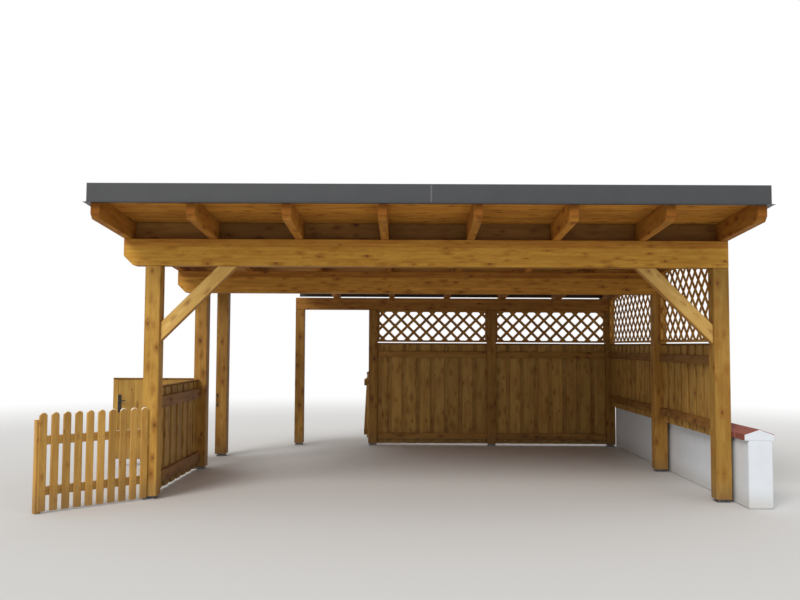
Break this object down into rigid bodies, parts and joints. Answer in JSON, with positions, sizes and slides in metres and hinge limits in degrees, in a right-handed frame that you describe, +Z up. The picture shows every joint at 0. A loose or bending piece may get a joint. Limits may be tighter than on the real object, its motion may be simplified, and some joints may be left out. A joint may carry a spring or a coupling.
{
  "type": "timber carport",
  "caption": "Timber carport with a lean-to roof over rafters, a boarded and latticed rear and right side, a low screen, a picket fence and low side gates.",
  "frame": {"origin": "middle of the front left post's shoe, on its underside", "axes": "+X along the front to the right, +Y to the back, +Z up"},
  "size_m": [7.452, 6.845, 3.0877],
  "materials": {
    "timber": "honey-stained spruce",
    "steel": "black coated steel",
    "roof_sheet": "matt grey roof sheet",
    "fascia": "boards clad in grey sheet metal",
    "gutter": "grey sheet metal",
    "plaster": "white plaster",
    "coping": "red coping slabs"
  },
  "bodies": {
    "carport": {"post_front_left": "timber", "post_front_right": "timber", "post_mid_left": "timber", "post_mid_right": "timber", "post_house": "timber", "posts_rear": "timber", "post_shoes": "steel", "cross_beams": "timber", "beam_rear": "timber", "wall_plate": "timber", "braces": "timber", "rafters": "timber", "blocking": "timber", "roof_deck": "timber", "roof_sheet": "roof_sheet", "fascia_front": "fascia", "fascia_sides": "fascia", "fascia_rear": "fascia", "gutter": "gutter", "gutter_brackets": "steel", "swan_neck": "gutter", "downpipe": "gutter", "pipe_clamps": "steel", "rear_boards": "timber", "rear_rails": "timber", "rear_lattice": "timber", "right_boards": "timber", "right_rails": "timber", "right_lattice": "timber", "left_boards": "timber", "left_rails": "timber", "low_wall": "plaster", "wall_coping": "coping", "fence_pickets": "timber", "fence_rails": "timber", "fence_end_post": "timber", "hinge_hooks": "steel", "strike_plate": "steel"},
    "side_gate": {"side_gate_boards": "timber", "side_gate_frame": "timber", "side_gate_straps": "steel", "side_gate_lock": "steel"},
    "rear_gate": {"rear_gate_boards": "timber", "rear_gate_frame": "timber", "rear_gate_straps": "steel"}
  },
  "joints": [
    {"name": "side_gate_hinge", "type": "hinge", "parent": "carport", "child": "side_gate", "pos_m": [-0.097, 2.135, 0.5], "axis": [0, 0, 1], "range_deg": [-90, 20]},
    {"name": "rear_gate_hinge", "type": "hinge", "parent": "carport", "child": "rear_gate", "pos_m": [2.053, 4.747, 0.5], "axis": [0, 0, 1], "range_deg": [-20, 90]}
  ]
}
